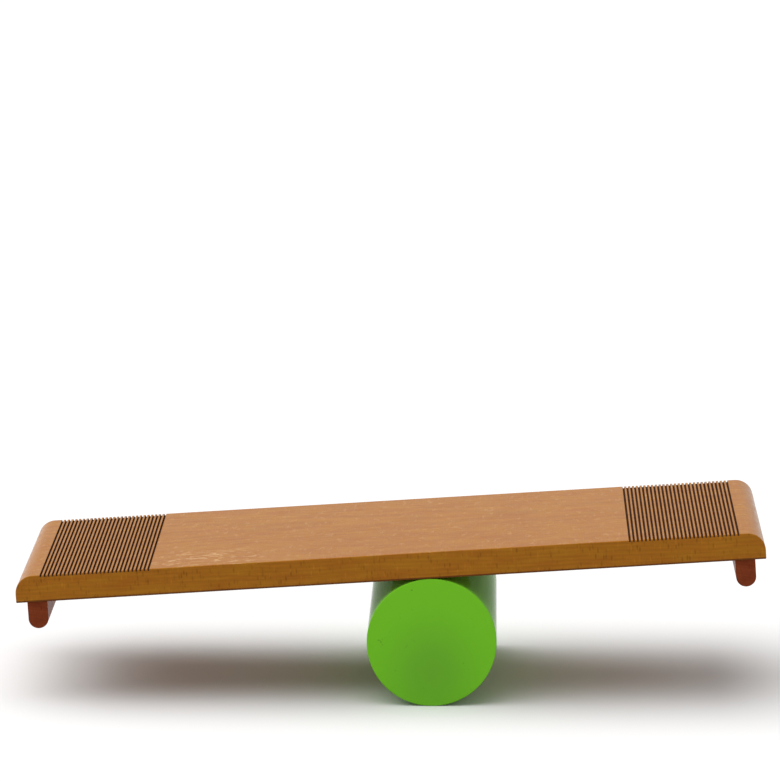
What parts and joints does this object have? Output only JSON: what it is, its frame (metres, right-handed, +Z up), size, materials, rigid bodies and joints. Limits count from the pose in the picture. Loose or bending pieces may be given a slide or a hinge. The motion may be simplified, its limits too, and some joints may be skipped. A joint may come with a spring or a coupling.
{
  "type": "rola bola",
  "caption": "Balance trainer: a straight wooden deck with grooved foot areas and stop cleats rocks and travels on a loose plastic roller.",
  "frame": {"origin": "on the floor, under the middle of the object's outer box", "axes": "+X along the deck towards its raised end, +Y across the deck along the roller, away from its near end cap, +Z up"},
  "size_m": [0.749, 0.28, 0.1777],
  "materials": {
    "lacquered_beech": "clear honey lacquer, gloss",
    "stained_beech": "red-brown stain, satin",
    "green_plastic": "gloss, through-coloured",
    "zinc_plated_steel": "bright zinc plate"
  },
  "bodies": {
    "roller": {"roller_tube": "green_plastic", "near_end_cap": "green_plastic", "far_end_cap": "green_plastic"},
    "deck": {"deck_board": "lacquered_beech", "left_stop_cleat": "stained_beech", "left_cleat_screw_1": "zinc_plated_steel", "left_cleat_screw_2": "zinc_plated_steel", "left_cleat_screw_3": "zinc_plated_steel", "left_cleat_screw_4": "zinc_plated_steel", "right_stop_cleat": "stained_beech", "right_cleat_screw_1": "zinc_plated_steel", "right_cleat_screw_2": "zinc_plated_steel", "right_cleat_screw_3": "zinc_plated_steel", "right_cleat_screw_4": "zinc_plated_steel"}
  },
  "joints": [
    {"name": "deck_rock", "type": "hinge", "parent": "roller", "child": "deck", "pos_m": [0.04146, 0, 0.06496], "axis": [0, -1, 0], "range_deg": [-22.1, 11.2]}
  ]
}
